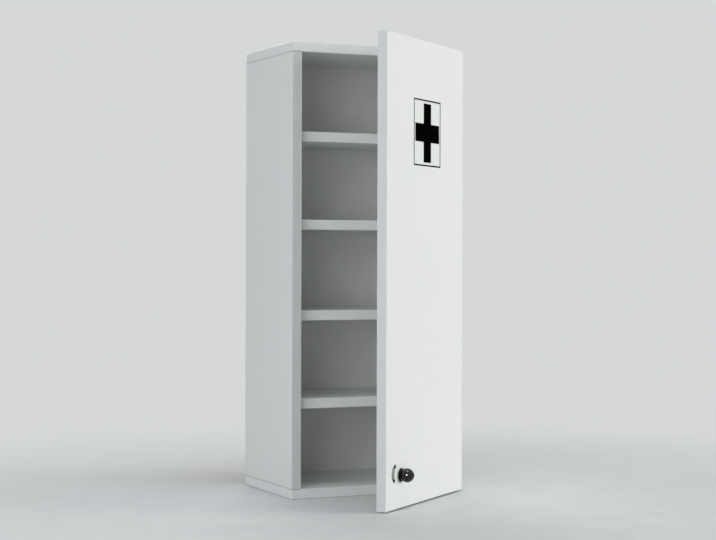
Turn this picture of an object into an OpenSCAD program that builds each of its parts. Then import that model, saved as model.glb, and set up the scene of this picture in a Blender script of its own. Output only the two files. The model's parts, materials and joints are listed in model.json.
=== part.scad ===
// Lockable wall cabinet for medicines: white melamine-faced chipboard, four shelves,
// one full-overlay door on concealed hinges, and a turn knob that works a cam lock.
// Millimetres. +X to the right seen from the front, +Y into the wall, +Z up.
// The origin lies on the wall, halfway between the two wall screws.

/* [Carcase] */
// Width over the two sides
cabinet_w = 300; // [240:10:400]
// Height over top and bottom panel
cabinet_h = 735; // [640:5:900]
// Depth from the front edges to the wall, without the door
cabinet_d = 204; // [160:2:300]
// Thickness of the boards
board = 16; // [15:1:19]
// Thickness of the edging strips
edging = 1; // [0.5:0.1:1.5]
// Radius along the outer edges of the edging
edging_r = 0.8; // [0.3:0.1:0.8]
// Thickness of the back panel
back_t = 3; // [2:0.5:5]
// How far the back panel is let into the boards around it
back_let_in = 8; // [4:1:9]

/* [Shelves] */
// How much taller the middle compartment is than the others
middle_extra = 4.5; // [0:0.5:10]
// How far the shelves stand back from the front edges
shelf_recess = 20; // [15:1:40]
// Gap at each end of a shelf
shelf_gap = 0.5; // [0.2:0.1:1.5]
// Diameter of a shelf pin
pin_d = 5; // [4:0.5:6]
// Depth of a shelf pin's hole in the side
pin_hole = 9; // [6:0.5:11]
// Length of a shelf pin's lug below the shelf
pin_lug = 8; // [6:0.5:12]
// Distance of the pins from the front and rear edges of a shelf
pin_inset = 30; // [20:1:50]

/* [Door] */
// How far the door stands open, in degrees
door_open = 38.8; // [0:0.1:95]
// Gap between the shut door and the carcase
door_gap = 3; // [2.8:0.1:4]
// How far the door stays inside the outer face of each side
side_reveal = 1; // [0.5:0.5:2]
// How far the door stays inside the top and bottom of the carcase
end_reveal = 2; // [1:0.5:4]
// Diameter of a door bumper
bumper_d = 9; // [6:0.5:12]

/* [Hinges] */
// Distance of each hinge from the top or bottom of the carcase
hinge_inset = 82; // [70:1:100]
// Distance of the hinge pin from the outer face of the right side
pivot_in = 8.3; // [8.2:0.1:9]
// Depth of the hinge pin below the door's inner face
pivot_depth = 8; // [7.6:0.1:8]
// Diameter of the hinge pin
hinge_pin_d = 3; // [2:0.5:3]
// Play of the arm's eye on the hinge pin, on the radius
hinge_play = 0.05; // [0.02:0.01:0.1]
// Diameter of the hinge cup
cup_d = 35; // [35:1:36]
// Depth of the hinge cup in the door
cup_depth = 11.5; // [11.5:0.1:12.5]
// Wall of the hinge cup
cup_wall = 0.8; // [0.6:0.1:0.8]
// Distance of the cup's edge from the door's edge
cup_edge = 3; // [2.5:0.5:3.5]
// Thickness of the cup's flange on the door
flange_t = 1; // [0.8:0.1:1.2]
// Distance between the two screws of a cup
cup_screw_gap = 45; // [42:1:52]
// Width of the arm's curved neck
neck_w = 8; // [6:0.5:9]
// Thickness of the neck's metal
neck_t = 2.4; // [2:0.1:2.6]
// Width of the hinge arm
arm_w = 15; // [13:0.5:18]
// Height of the arm's top above the side panel
arm_h = 11; // [10:0.5:14]
// Thickness of the arm's metal
arm_t = 1.6; // [1.2:0.1:2]
// Distance of the mounting plate's screws from the carcase's front
plate_setback = 37; // [34:1:45]
// Distance between the mounting plate's two screws
plate_screw_gap = 32; // [28:1:40]
// Thickness of the mounting plate's wings
plate_t = 2; // [1.5:0.1:3]

/* [Lock] */
// Distance of the lock from the door's free edge
lock_in = 55.6; // [50:0.5:70]
// Distance of the lock from the door's lower edge
lock_up = 50.6; // [45:0.5:70]
// Diameter of the knob
knob_d = 21.8; // [20:0.2:26]
// How far the knob stands out from the door
knob_out = 20; // [19:0.5:24]
// Diameter of the rosette
rosette_d = 21; // [20:0.5:26]
// Thickness of the rosette
rosette_t = 1.6; // [1.4:0.1:2.5]
// Diameter of the lock housing
housing_d = 14; // [13:0.5:16]
// Diameter of the spindle
spindle_d = 8; // [6:0.5:9]
// Play of spindle and key plug in their bores, on the radius
lock_play = 0.05; // [0.02:0.01:0.1]
// Diameter of the key plug
plug_d = 9; // [8:0.5:9]
// Length of the key plug
plug_l = 9; // [7:0.5:10]
// How far the tip of the turned cam goes into the left side
cam_in = 6; // [4:0.5:7]
// Width of the cam
cam_w = 15; // [12:0.5:18]
// Thickness of the cam
cam_t = 2; // [1.5:0.5:3]
// Depth of the cam behind the carcase's front when the door is shut
cam_back = 10.5; // [9:0.5:14]
// Width of the strike plate
strike_w = 14; // [12:0.5:16]
// Thickness of the strike plate
strike_t = 1.5; // [1.4:0.1:2]

/* [Wall brackets] */
// Distance of the wall screws from the top of the cabinet
hang_drop = 46; // [44:1:60]
// Distance of each wall screw from the side panel's inner face
hang_in = 14; // [12:1:20]
// Diameter of the wall screw holes
hang_hole_d = 6; // [5:0.5:8]
// Thickness of the wall brackets
bracket_t = 2; // [1.5:0.5:3]
// Height of the wall brackets
bracket_h = 40; // [32:1:44]

/* [Knock-down fittings] */
// Distance of the cam fittings from the joint
fitting_set = 24; // [22:1:26]
// Diameter of a cam fitting
fitting_d = 15; // [14:0.5:16]
// Depth of a cam fitting in the side
fitting_depth = 12.4; // [11.5:0.1:12.8]
// Diameter of a connecting bolt
bolt_d = 6; // [5:0.5:7]
// Diameter of a wooden dowel
dowel_d = 8; // [6:0.5:8]
// Length of a wooden dowel
dowel_l = 30; // [24:1:32]

/* [Hidden] */
$fn = 48;
eps = 0.01;
ends = [0, 1];
ways = [-1, 1];

melamine = "whitesmoke";
steel = "silver";
zinc = "darkgray";
black = [0.04, 0.04, 0.045];

// Carcase, measured from its front-left-bottom corner.
inner_left = board;
inner_right = cabinet_w - board;
inner_top = cabinet_h - board;
back_face = cabinet_d - back_t;
hang_z = cabinet_h - hang_drop;
// Joint line between two edging strips that meet.
edging_joint = 0.1;

// Shelves: compartments of one height between bottom and top panel, but for the middle one.
shelf_count = 4;
pitch = (cabinet_h - board - middle_extra) / (shelf_count + 1);
function shelf_z(i) = i * pitch + (i > shelf_count / 2 ? middle_extra : 0);
shelf_rear_gap = 1;
shelf_l = inner_right - inner_left - 2 * shelf_gap;
pin_rows = [shelf_recess + pin_inset, back_face - shelf_rear_gap - pin_inset];
pin_lug_d = pin_d + 3;

// Knock-down fittings: their rows along the depth, and the bolt's screwed end, neck and head.
fitting_y = 48;
fitting_rows = [fitting_y, cabinet_d - fitting_y];
dowel_step = 21;
dowel_rows = [fitting_y + dowel_step, cabinet_d - fitting_y - dowel_step];
dowel_in_panel = 11;
bolt_in_panel = 11;
bolt_play = 0.5;
bolt_head_h = 2.5;
bolt_neck_l = 3.5;
bolt_neck_d = 0.6 * bolt_d;
bolt_tip = board + fitting_set - 2;
fitting_sunk = 0.4;
fitting_recess = 2.5;
cap_t = 1.2;
cap_rim = 1;

// Brads round the back panel.
brad_d = 1.4;
brad_l = 13;
brad_in = back_let_in / 2;
brad_first = 60;
brads_up = 6;
brads_across = 3;

// Wall brackets.
bracket_deep = 22;
bracket_beyond = 11;
bracket_corner = 4;
bracket_bend = bracket_t + 1;
bracket_screw_d = 3.5;
bracket_screw_head = 7;
bracket_screw_l = 14;
bracket_screw_y = back_face - 10;

// Hinges: the pivot seen from above, and the cup round it.
pivot = [cabinet_w - pivot_in, -door_gap - pivot_depth];
hinge_heights = [hinge_inset, cabinet_h - hinge_inset];
hinge_pin_l = 18;
cup_r = cup_d / 2;
cup_x = cabinet_w - side_reveal - cup_edge - cup_r;
cup_rim = 1;
cup_ear_d = 12;
cup_screw_d = 3.5;
cup_screw_head = 6.3;
cup_screw_l = 13;
cup_screw_x = cup_x - 9.5;
lug_gap = 0.3;
lug_in = neck_w / 2 + lug_gap;
lug_wall = 1;
eye_r = 2.5;

// Mounting plate, with the slider that carries the arm, and the arm's own screws.
plate_wing_r = 7;
plate_screw_d = 4;
plate_screw_head = 8;
plate_screw_l = 13;
arm_screw_step = 12;
fixing_y = plate_setback + arm_screw_step;
adjusting_y = plate_setback - arm_screw_step;
slider_gap = 0.3;
slider_front = adjusting_y - 6;
slider_rear = fixing_y + 7;
arm_top = inner_right - arm_h;
arm_front = 7;
arm_end = fixing_y + 9;
arm_slot_l = 4;
arm_slot_play = 0.3;
arm_screw_d = 5;
arm_screw_head = 9;
arm_screw_head_h = 2.4;
arm_screw_l = arm_h - 1;
adjusting_d = 4;
adjusting_out = 2;
adjusting_recess = 1.4;

// The arm's cheeks: low at the front, deep beside the slider, cut back at the rear.
cheek_in = arm_w / 2 - arm_t;
cheek_gap = 0.6;
cheek_foot = inner_right - plate_t - cheek_gap;
cheek_low = 3;
cheek_slope = 9;
cheek_rear_cut = [4, 5];

// Points of an arc that rounds the corner at b between the lines to a and c.
function rounded_corner(a, b, c, r, steps = 6) =
    let (
        to_a = (a - b) / norm(a - b),
        to_c = (c - b) / norm(c - b),
        half = acos(to_a * to_c) / 2,
        middle = b + (to_a + to_c) / norm(to_a + to_c) * r / sin(half),
        first = b + to_a * r / tan(half) - middle,
        last = b + to_c * r / tan(half) - middle,
        start = atan2(first.y, first.x),
        turn = atan2(first.x * last.y - first.y * last.x, first * last)
    )
    [for (k = [0 : steps]) middle + r * [cos(start + turn * k / steps), sin(start + turn * k / steps)]];

// The line that runs beside a route at a distance, square to it at each point.
function beside(route, distance) =
    [for (i = [0 : len(route) - 1])
        let (
            before = route[max(i - 1, 0)],
            after = route[min(i + 1, len(route) - 1)],
            along = (after - before) / norm(after - before)
        )
        route[i] + distance * [-along.y, along.x]];

function reversed(list) = [for (i = [len(list) - 1 : -1 : 0]) list[i]];

// Route of the neck's middle: from the pin through the cup, then back round the side's front edge.
neck_reach = 11.4;
neck_lift = 0.6;
neck_side_gap = 4;
neck_pass_y = 2;
neck_root_y = 9;
neck_bend_r = 3;
neck_bend = pivot + [-neck_reach, neck_lift];
neck_inner = [inner_right - neck_side_gap, neck_pass_y];
neck_root = [arm_top + arm_t / 2, neck_root_y];
neck_route = concat(
    [pivot],
    rounded_corner(pivot, neck_bend, neck_inner, neck_bend_r),
    rounded_corner(neck_bend, neck_inner, neck_root, neck_bend_r),
    [neck_root]
);

// Door and its bumpers, which meet the carcase's front when it is shut.
door_w = cabinet_w - 2 * side_reveal;
door_h = cabinet_h - 2 * end_reveal;
bumper_gap = 0.3;
bumper_taper = 2;
bumper_heights = [board / 2, cabinet_h - board / 2];

// Lock: depths are counted from the door's outer face into the cabinet.
lock_x = side_reveal + lock_in;
lock_z = end_reveal + lock_up;
cam_at = board + door_gap + cam_back;
cam_gap = 1.2;
housing_end = cam_at - cam_gap;
housing_rim = 1.5;
housing_rim_t = 0.8;
rosette_edge = 0.5;
nut_t = 4;
nut_d = 1.55 * housing_d;
clip_t = 0.6;
clip_gap = 0.05;
clip_w = 1.5;
groove_depth = 0.8;
groove_d = spindle_d - 2 * groove_depth;
square_d = 0.7 * spindle_d;
square_end = cam_at + cam_t;
cam_screw_d = 3;
cam_screw_head = spindle_d + 3;
cam_screw_head_h = 1.6;
cam_screw_l = 8;

// Cam: it reaches from the lock's axis into the left side, and its tip swings down into a slot.
cam_to_side = lock_x - inner_left;
cam_l = cam_to_side + cam_in;
cam_tip_r = cam_w / 4;
cam_sweep_r = norm([cam_l - cam_tip_r, cam_w / 2 - cam_tip_r]) + cam_tip_r;
cam_rise = sqrt(pow(cam_sweep_r, 2) - pow(cam_to_side, 2));

// Slot and strike plate: the heights on which their round ends are centred.
slot_gap = 0.5;
slot_w = cam_t + 2 * slot_gap;
slot_depth = cam_sweep_r - cam_to_side + slot_gap;
slot_ends = [lock_z - cam_w / 2, lock_z + cam_rise];
strike_beyond = 7;
strike_ends = slot_ends + strike_beyond * [-1, 1];
strike_y = cam_back + cam_t / 2;
strike_screw_d = 3;
strike_screw_head = 5.7;
strike_screw_l = 12;

// Knob: a ball cut flat at its end, on a short foot just clear of the rosette.
knob_r = knob_d / 2;
ball_at = knob_out - 0.9 * knob_r;
knob_neck_d = 0.72 * knob_d;
knob_foot = rosette_t + 0.3;
plug_floor = 1;
plug_hole_l = plug_l + plug_floor;
keyway_t = 1.6;
keyway_w = 0.64 * plug_d;

// ---- Frames and basic shapes ----

// Puts a piece, drawn from the carcase's front-left-bottom corner, into the part's frame.
module carcase_frame() {
    translate([-cabinet_w / 2, -cabinet_d, -hang_z]) children();
}

// Puts a piece, drawn on the shut door, where the open door has it.
module door_frame() {
    carcase_frame()
        translate([pivot.x, pivot.y, 0])
            rotate([0, 0, door_open])
                translate([-pivot.x, -pivot.y, 0])
                    children();
}

// Lock pieces are drawn along +Z: 0 is the door's outer face and +Z goes into the cabinet.
module lock_frame() {
    door_frame()
        translate([lock_x, -door_gap - board, lock_z])
            rotate([-90, 0, 0])
                children();
}

// Draws a piece at the left side, or mirrored at the right side.
module at_side(side) {
    translate([side * cabinet_w, 0, 0]) mirror([side, 0, 0]) children();
}

// A board given by its lowest and highest corner.
module slab(low, high) {
    translate(low) cube(high - low);
}

// A cylinder along X, Y or Z from a point.
module rod_x(at, d, l) translate(at) rotate([0, 90, 0]) cylinder(d = d, h = l);
module rod_y(at, d, l) translate(at) rotate([-90, 0, 0]) cylinder(d = d, h = l);
module rod_z(at, d, l) translate(at) cylinder(d = d, h = l);

// A tab from x = 0 to w, with its two far corners rounded.
module tab_shape(w, h, r) {
    square([w - r, h]);
    translate([0, r]) square([w, h - 2 * r]);
    for (y = [r, h - r])
        translate([w - r, y]) circle(r = r);
}

// Two legs of sheet metal along +X and +Y that meet in a bend with the outer radius r.
module angle_shape(x_leg, y_leg, t, r) {
    translate([r, 0]) square([x_leg - r, t]);
    translate([0, r]) square([t, y_leg - r]);
    translate([r, r]) intersection() {
        difference() {
            circle(r = r);
            circle(r = r - t);
        }
        translate([-r, -r]) square(r);
    }
}

// Countersunk screw along +Z, its head's face at 0 and its tip below.
module countersunk_screw(d, head_d, l) {
    head_h = (head_d - d) / 2;
    difference() {
        union() {
            translate([0, 0, -head_h]) cylinder(d1 = d, d2 = head_d, h = head_h);
            translate([0, 0, -l]) cylinder(d = d, h = l - head_h + eps);
        }
        cross_recess(head_d * 0.5, head_h * 0.7);
    }
}

// Hole of that length with a countersink for a screw whose head's face is at 0.
module screw_hole(d, head_d, l) {
    head_h = (head_d - d) / 2;
    translate([0, 0, -l]) cylinder(d = d, h = l);
    translate([0, 0, -head_h]) cylinder(d1 = d, d2 = head_d, h = head_h);
    cylinder(d = head_d, h = 1);
}

// Pan-head screw along +Z, standing on 0 with its tip below.
module pan_screw(d, head_d, head_h, l) {
    difference() {
        union() {
            cylinder(d = head_d, h = head_h);
            translate([0, 0, -l]) cylinder(d = d, h = l + eps);
        }
        translate([0, 0, head_h]) cross_recess(head_d * 0.55, head_h * 0.6);
    }
}

// Two crossed slots that reach down from 0.
module cross_recess(size, depth) {
    for (turn = [0, 90])
        rotate(turn)
            translate([-size / 2, -size / 10, -depth]) cube([size, size / 5, depth + eps]);
}

// ---- Places that more than one piece shares ----

// At each corner of the carcase, for each of these rows along the depth.
module at_corners(rows) {
    for (side = ends, end = ends, y = rows)
        at_side(side) translate([0, y, end * cabinet_h]) mirror([0, 0, end]) children();
}

module bolt_holes() {
    at_corners(fitting_rows) {
        rod_z([board / 2, 0, board - bolt_in_panel], bolt_d, bolt_in_panel + eps);
        rod_z([board / 2, 0, board - eps], bolt_d + 2 * bolt_play, fitting_set);
    }
}

module fitting_holes() {
    at_corners(fitting_rows)
        rod_x([board - fitting_depth, 0, board + fitting_set], fitting_d, fitting_depth + 1);
}

module dowel_shapes() {
    at_corners(dowel_rows)
        rod_z([board / 2, 0, board - dowel_in_panel], dowel_d, dowel_l);
}

module at_pins() {
    for (side = ends, i = [1 : shelf_count], y = pin_rows)
        at_side(side) translate([0, y, shelf_z(i)]) children();
}

module pin_holes() {
    at_pins() rod_x([board - pin_hole, 0, -pin_d / 2], pin_d, pin_hole + 1);
}

module at_brads() {
    for (x = [back_let_in + brad_in, cabinet_w - back_let_in - brad_in], k = [0 : brads_up - 1])
        translate([x, cabinet_d, brad_first + k * (cabinet_h - 2 * brad_first) / (brads_up - 1)])
            children();
    for (z = [back_let_in + brad_in, cabinet_h - back_let_in - brad_in], k = [1 : brads_across])
        translate([cabinet_w * k / (brads_across + 1), cabinet_d, z]) children();
}

module brad_shapes(l) {
    at_brads() rod_y([0, -back_t - brad_l, 0], brad_d, l);
}

module at_bracket_screws() {
    for (side = ends, way = ways)
        at_side(side)
            translate([board + bracket_t, bracket_screw_y, hang_z + way * bracket_h / 4])
                rotate([0, 90, 0]) children();
}

module at_wall_screws() {
    for (x = [inner_left + hang_in, inner_right - hang_in])
        translate([x, 0, hang_z]) children();
}

module at_strike_screws() {
    for (z = strike_ends)
        translate([inner_left, strike_y, z]) rotate([0, 90, 0]) children();
}

// An upright bar with round ends, let in from the left side's inner face.
module let_in(w, bar_ends, depth, above = 0) {
    for (z = bar_ends)
        rod_x([inner_left - depth, strike_y, z], w, depth + above);
    slab([inner_left - depth, strike_y - w / 2, bar_ends[0]],
         [inner_left + above, strike_y + w / 2, bar_ends[1]]);
}

module at_plate_screws() {
    for (z = hinge_heights, way = ways)
        translate([inner_right - plate_t, plate_setback, z + way * plate_screw_gap / 2])
            rotate([0, -90, 0]) children();
}

module at_cup_screws() {
    for (z = hinge_heights, way = ways)
        translate([cup_screw_x, -door_gap + flange_t, z + way * cup_screw_gap / 2])
            rotate([-90, 0, 0]) children();
}

module back_panel_space() {
    slab([back_let_in, back_face, back_let_in],
         [cabinet_w - back_let_in, cabinet_d + eps, cabinet_h - back_let_in]);
}

// ---- Carcase ----

module horizontal_panel(z) {
    color(melamine) carcase_frame() difference() {
        slab([edging, edging, z], [cabinet_w - edging, cabinet_d, z + board]);
        back_panel_space();
        bolt_holes();
        dowel_shapes();
        brad_shapes(brad_l + back_t + eps);
    }
}

module top_panel() horizontal_panel(inner_top);
module bottom_panel() horizontal_panel(0);

module side_panel(x) {
    color(melamine) carcase_frame() difference() {
        slab([x, edging, board], [x + board, cabinet_d, inner_top]);
        back_panel_space();
        bolt_holes();
        fitting_holes();
        dowel_shapes();
        pin_holes();
        brad_shapes(brad_l + back_t + eps);
        at_bracket_screws() rod_z([0, 0, -bracket_screw_l], bracket_screw_d, bracket_screw_l + 1);
        at_plate_screws() rod_z([0, 0, -plate_screw_l], plate_screw_d, plate_screw_l + 1);
        at_strike_screws() rod_z([0, 0, -strike_screw_l], strike_screw_d, strike_screw_l + 1);
        let_in(strike_w, strike_ends, strike_t, 1);
        let_in(slot_w, slot_ends, slot_depth, 1);
    }
}

module left_side() side_panel(0);
module right_side() side_panel(inner_right);

// Profile of an edging strip, its outer face at y = 0 and its outer edges rounded.
module edging_profile(w) {
    intersection() {
        square([w, edging]);
        union() {
            translate([0, edging_r]) square([w, edging]);
            translate([edging_r, 0]) square([w - 2 * edging_r, edging]);
            for (x = [edging_r, w - edging_r])
                translate([x, edging_r]) circle(r = edging_r);
        }
    }
}

// Strip on the front edge of a side.
module front_strip(x, z, w, h) {
    translate([x, 0, z]) linear_extrude(h) edging_profile(w);
}

// Strip on the front edge of a shelf, a top or a bottom.
module level_strip(x, y, z, l) {
    translate([x + l, y, z]) rotate([0, -90, 0]) linear_extrude(l) edging_profile(board);
}

// Strip on the left end of a top or a bottom, rounded at its front and rear corners too.
module end_strip(z) {
    translate([0, 0, z]) intersection() {
        rotate([-90, -90, 0]) linear_extrude(cabinet_d) edging_profile(board);
        linear_extrude(board) mirror([1, -1]) edging_profile(cabinet_d);
    }
}

module carcase_edging() {
    color(melamine) carcase_frame() {
        for (x = [0, inner_right])
            front_strip(x, board + edging_joint, board, inner_top - board - 2 * edging_joint);
        for (z = [0, inner_top]) {
            level_strip(edging + edging_joint, 0, z, cabinet_w - 2 * (edging + edging_joint));
            for (side = ends)
                at_side(side) end_strip(z);
        }
    }
}

module back_panel() {
    color("white") carcase_frame() difference() {
        slab([back_let_in, back_face, back_let_in],
             [cabinet_w - back_let_in, cabinet_d, cabinet_h - back_let_in]);
        brad_shapes(brad_l + back_t + eps);
        at_wall_screws() rod_y([0, back_face - 1, 0], hang_hole_d, back_t + 2);
    }
}

module back_brads() {
    color(steel) carcase_frame() brad_shapes(brad_l + back_t);
}

// ---- Shelves ----

module shelf(i) {
    color(melamine) carcase_frame()
        slab([inner_left + shelf_gap, shelf_recess + edging, shelf_z(i)],
             [inner_right - shelf_gap, back_face - shelf_rear_gap, shelf_z(i) + board]);
}

module shelf_1() shelf(1);
module shelf_2() shelf(2);
module shelf_3() shelf(3);
module shelf_4() shelf(4);

module shelf_edging() {
    color(melamine) carcase_frame()
        for (i = [1 : shelf_count])
            level_strip(inner_left + shelf_gap, shelf_recess, shelf_z(i), shelf_l);
}

// A steel pin with a half-round lug, flat on top, that the shelf lies on.
module shelf_pins() {
    color(steel) carcase_frame() at_pins() {
        rod_x([board - pin_hole, 0, -pin_d / 2], pin_d, pin_hole);
        intersection() {
            rod_x([board, 0, -pin_d / 2], pin_lug_d, pin_lug);
            slab([board, -pin_lug_d, -2 * pin_lug_d], [board + pin_lug, pin_lug_d, 0]);
        }
    }
}

// ---- Knock-down fittings ----

module connecting_bolts() {
    shank_end = bolt_tip - bolt_head_h - bolt_neck_l;
    color(steel) carcase_frame() at_corners(fitting_rows) translate([board / 2, 0, 0]) {
        rod_z([0, 0, board - bolt_in_panel], bolt_d, shank_end - board + bolt_in_panel);
        rod_z([0, 0, shank_end - eps], bolt_neck_d, bolt_neck_l + 2 * eps);
        rod_z([0, 0, bolt_tip - bolt_head_h], bolt_d, bolt_head_h);
    }
}

// A drum that turns round the bolt's head and draws the joint tight.
module cam_fittings() {
    color(zinc) carcase_frame() at_corners(fitting_rows) difference() {
        rod_x([board - fitting_depth, 0, board + fitting_set], fitting_d, fitting_depth - fitting_sunk);
        rod_z([board / 2, 0, board + fitting_set - fitting_d], bolt_d + fitting_sunk, fitting_d);
        translate([board - fitting_sunk, 0, board + fitting_set])
            rotate([0, 90, 0]) cross_recess(fitting_d * 0.5, fitting_recess);
    }
}

module fitting_caps() {
    color(melamine) carcase_frame() at_corners(fitting_rows)
        rod_x([board, 0, board + fitting_set], fitting_d + 2 * cap_rim, cap_t);
}

module wooden_dowels() {
    color("burlywood") carcase_frame() dowel_shapes();
}

// ---- Wall brackets ----

// Bent steel angle in the rear corner: one leg on the side panel, the other on the back panel.
module wall_bracket(side) {
    wall_leg = hang_in + bracket_beyond;
    color(steel) carcase_frame() difference() {
        at_side(side) translate([board, back_face, hang_z - bracket_h / 2]) intersection() {
            mirror([0, 1, 0]) linear_extrude(bracket_h)
                angle_shape(wall_leg, bracket_deep, bracket_t, bracket_bend);
            rotate([90, 0, 0]) linear_extrude(bracket_deep)
                tab_shape(wall_leg, bracket_h, bracket_corner);
            rotate([90, 0, -90]) mirror([0, 0, 1]) linear_extrude(wall_leg)
                tab_shape(bracket_deep, bracket_h, bracket_corner);
        }
        at_bracket_screws() screw_hole(bracket_screw_d, bracket_screw_head, bracket_screw_l);
        at_wall_screws() rod_y([0, back_face - bracket_t - 1, 0], hang_hole_d, bracket_t + 2);
    }
}

module left_wall_bracket() wall_bracket(0);
module right_wall_bracket() wall_bracket(1);

module bracket_screws() {
    color(steel) carcase_frame() at_bracket_screws()
        countersunk_screw(bracket_screw_d, bracket_screw_head, bracket_screw_l);
}

// ---- Strike ----

// Flat steel plate, let in flush in the left side round the cam's slot.
module strike_plate() {
    color(steel) carcase_frame() difference() {
        let_in(strike_w, strike_ends, strike_t);
        let_in(slot_w, slot_ends, slot_depth, 1);
        at_strike_screws() screw_hole(strike_screw_d, strike_screw_head, strike_screw_l);
    }
}

module strike_screws() {
    color(steel) carcase_frame() at_strike_screws()
        countersunk_screw(strike_screw_d, strike_screw_head, strike_screw_l);
}

// ---- Hinges ----

// Cross-shaped plate on the side panel, with the raised slider that carries the arm.
module mounting_plate(z) {
    slider_half = cheek_in - slider_gap;
    color(steel) carcase_frame() translate([inner_right, 0, z]) difference() {
        union() {
            for (way = ways)
                rod_x([-plate_t, plate_setback, way * plate_screw_gap / 2], 2 * plate_wing_r, plate_t);
            slab([-plate_t, plate_setback - plate_wing_r, -plate_screw_gap / 2],
                 [0, plate_setback + plate_wing_r, plate_screw_gap / 2]);
            slab([-arm_h + arm_t, slider_front, -slider_half], [0, slider_rear, slider_half]);
        }
        for (way = ways)
            translate([-plate_t, plate_setback, way * plate_screw_gap / 2])
                rotate([0, -90, 0]) screw_hole(plate_screw_d, plate_screw_head, plate_screw_l);
        rod_x([-arm_h, fixing_y, 0], arm_screw_d, arm_h - plate_t / 2);
    }
}

module upper_mounting_plate() mounting_plate(hinge_heights[1]);
module lower_mounting_plate() mounting_plate(hinge_heights[0]);

module mounting_plate_screws() {
    color(steel) carcase_frame() at_plate_screws()
        countersunk_screw(plate_screw_d, plate_screw_head, plate_screw_l);
}

module neck_shape() {
    translate(pivot) circle(r = eye_r);
    polygon(concat(beside(neck_route, neck_t / 2), reversed(beside(neck_route, -neck_t / 2))));
}

// One cheek of the arm, seen from above.
module cheek_shape() {
    polygon([
        [arm_top, arm_front],
        [arm_top + cheek_low, arm_front],
        [cheek_foot, arm_front + cheek_slope],
        [cheek_foot, arm_end - cheek_rear_cut.y],
        [arm_top + cheek_rear_cut.x, arm_end],
        [arm_top, arm_end]
    ]);
}

module hinge_arm(z) {
    color(steel) carcase_frame() translate([0, 0, z]) difference() {
        union() {
            translate([0, 0, -neck_w / 2]) linear_extrude(neck_w) neck_shape();
            slab([arm_top, arm_front, -arm_w / 2], [arm_top + arm_t, arm_end, arm_w / 2]);
            for (side = [-arm_w / 2, cheek_in])
                translate([0, 0, side]) linear_extrude(arm_t) cheek_shape();
        }
        translate([pivot.x, pivot.y, -neck_w / 2 - 1])
            cylinder(r = hinge_pin_d / 2 + hinge_play, h = neck_w + 2);
        arm_slot();
        rod_x([arm_top - 1, adjusting_y, 0], adjusting_d, arm_t + 2);
    }
}

// Slot for the fixing screw through the arm's top, along the depth.
module arm_slot() {
    w = arm_screw_d + arm_slot_play;
    for (way = ways)
        rod_x([arm_top - 1, fixing_y + way * arm_slot_l / 2, 0], w, arm_t + 2);
    slab([arm_top - 1, fixing_y - arm_slot_l / 2, -w / 2],
         [arm_top + arm_t + 1, fixing_y + arm_slot_l / 2, w / 2]);
}

module upper_hinge_arm() hinge_arm(hinge_heights[1]);
module lower_hinge_arm() hinge_arm(hinge_heights[0]);

module arm_fixing_screws() {
    color(steel) carcase_frame() for (z = hinge_heights)
        translate([arm_top, fixing_y, z]) rotate([0, -90, 0])
            pan_screw(arm_screw_d, arm_screw_head, arm_screw_head_h, arm_screw_l);
}

module arm_adjusting_screws() {
    color(steel) carcase_frame() for (z = hinge_heights)
        translate([arm_top, adjusting_y, z]) rotate([0, -90, 0]) difference() {
            translate([0, 0, -arm_t]) cylinder(d = adjusting_d, h = arm_t + adjusting_out);
            translate([0, 0, adjusting_out]) cross_recess(adjusting_d * 0.7, adjusting_recess);
        }
}

// Pressed cup with its flange, and two lugs inside that hold the hinge pin.
module hinge_cup(z) {
    color(steel) door_frame() translate([0, -door_gap, z]) difference() {
        union() {
            difference() {
                union() {
                    rod_y([cup_x, -cup_depth, 0], cup_d, cup_depth);
                    cup_flange();
                }
                rod_y([cup_x, -cup_depth + cup_wall, 0], cup_d - 2 * cup_wall,
                      cup_depth + flange_t + 1);
            }
            intersection() {
                rod_y([cup_x, -cup_depth, 0], cup_d, cup_depth);
                for (way = ends) mirror([0, 0, way])
                    slab([pivot.x - eye_r - lug_wall, -cup_depth, lug_in], [cabinet_w, 0, cup_r]);
            }
        }
        translate([pivot.x, pivot.y + door_gap, -hinge_pin_l / 2])
            cylinder(d = hinge_pin_d, h = hinge_pin_l);
        for (way = ways)
            translate([cup_screw_x, flange_t, way * cup_screw_gap / 2])
                rotate([-90, 0, 0]) screw_hole(cup_screw_d, cup_screw_head, cup_screw_l);
    }
}

module cup_flange() {
    rod_y([cup_x, 0, 0], cup_d + 2 * cup_rim, flange_t);
    for (way = ways)
        rod_y([cup_screw_x, 0, way * cup_screw_gap / 2], cup_ear_d, flange_t);
    slab([cup_screw_x - cup_ear_d / 2, 0, -cup_screw_gap / 2],
         [cup_screw_x + cup_ear_d / 2, flange_t, cup_screw_gap / 2]);
}

module upper_hinge_cup() hinge_cup(hinge_heights[1]);
module lower_hinge_cup() hinge_cup(hinge_heights[0]);

module hinge_pin(z) {
    color(steel) door_frame()
        rod_z([pivot.x, pivot.y, z - hinge_pin_l / 2], hinge_pin_d, hinge_pin_l);
}

module upper_hinge_pin() hinge_pin(hinge_heights[1]);
module lower_hinge_pin() hinge_pin(hinge_heights[0]);

module cup_screws() {
    color(steel) door_frame() at_cup_screws()
        countersunk_screw(cup_screw_d, cup_screw_head, cup_screw_l);
}

// ---- Door ----

module door_board() {
    color(melamine) door_frame() difference() {
        slab([side_reveal + edging, -door_gap - board, end_reveal + edging],
             [cabinet_w - side_reveal - edging, -door_gap, cabinet_h - end_reveal - edging]);
        for (z = hinge_heights)
            rod_y([cup_x, -door_gap - cup_depth, z], cup_d, cup_depth + 1);
        at_cup_screws() screw_hole(cup_screw_d, cup_screw_head, cup_screw_l);
        rod_y([lock_x, -door_gap - board - 1, lock_z], housing_d, board + 2);
    }
}

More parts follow.
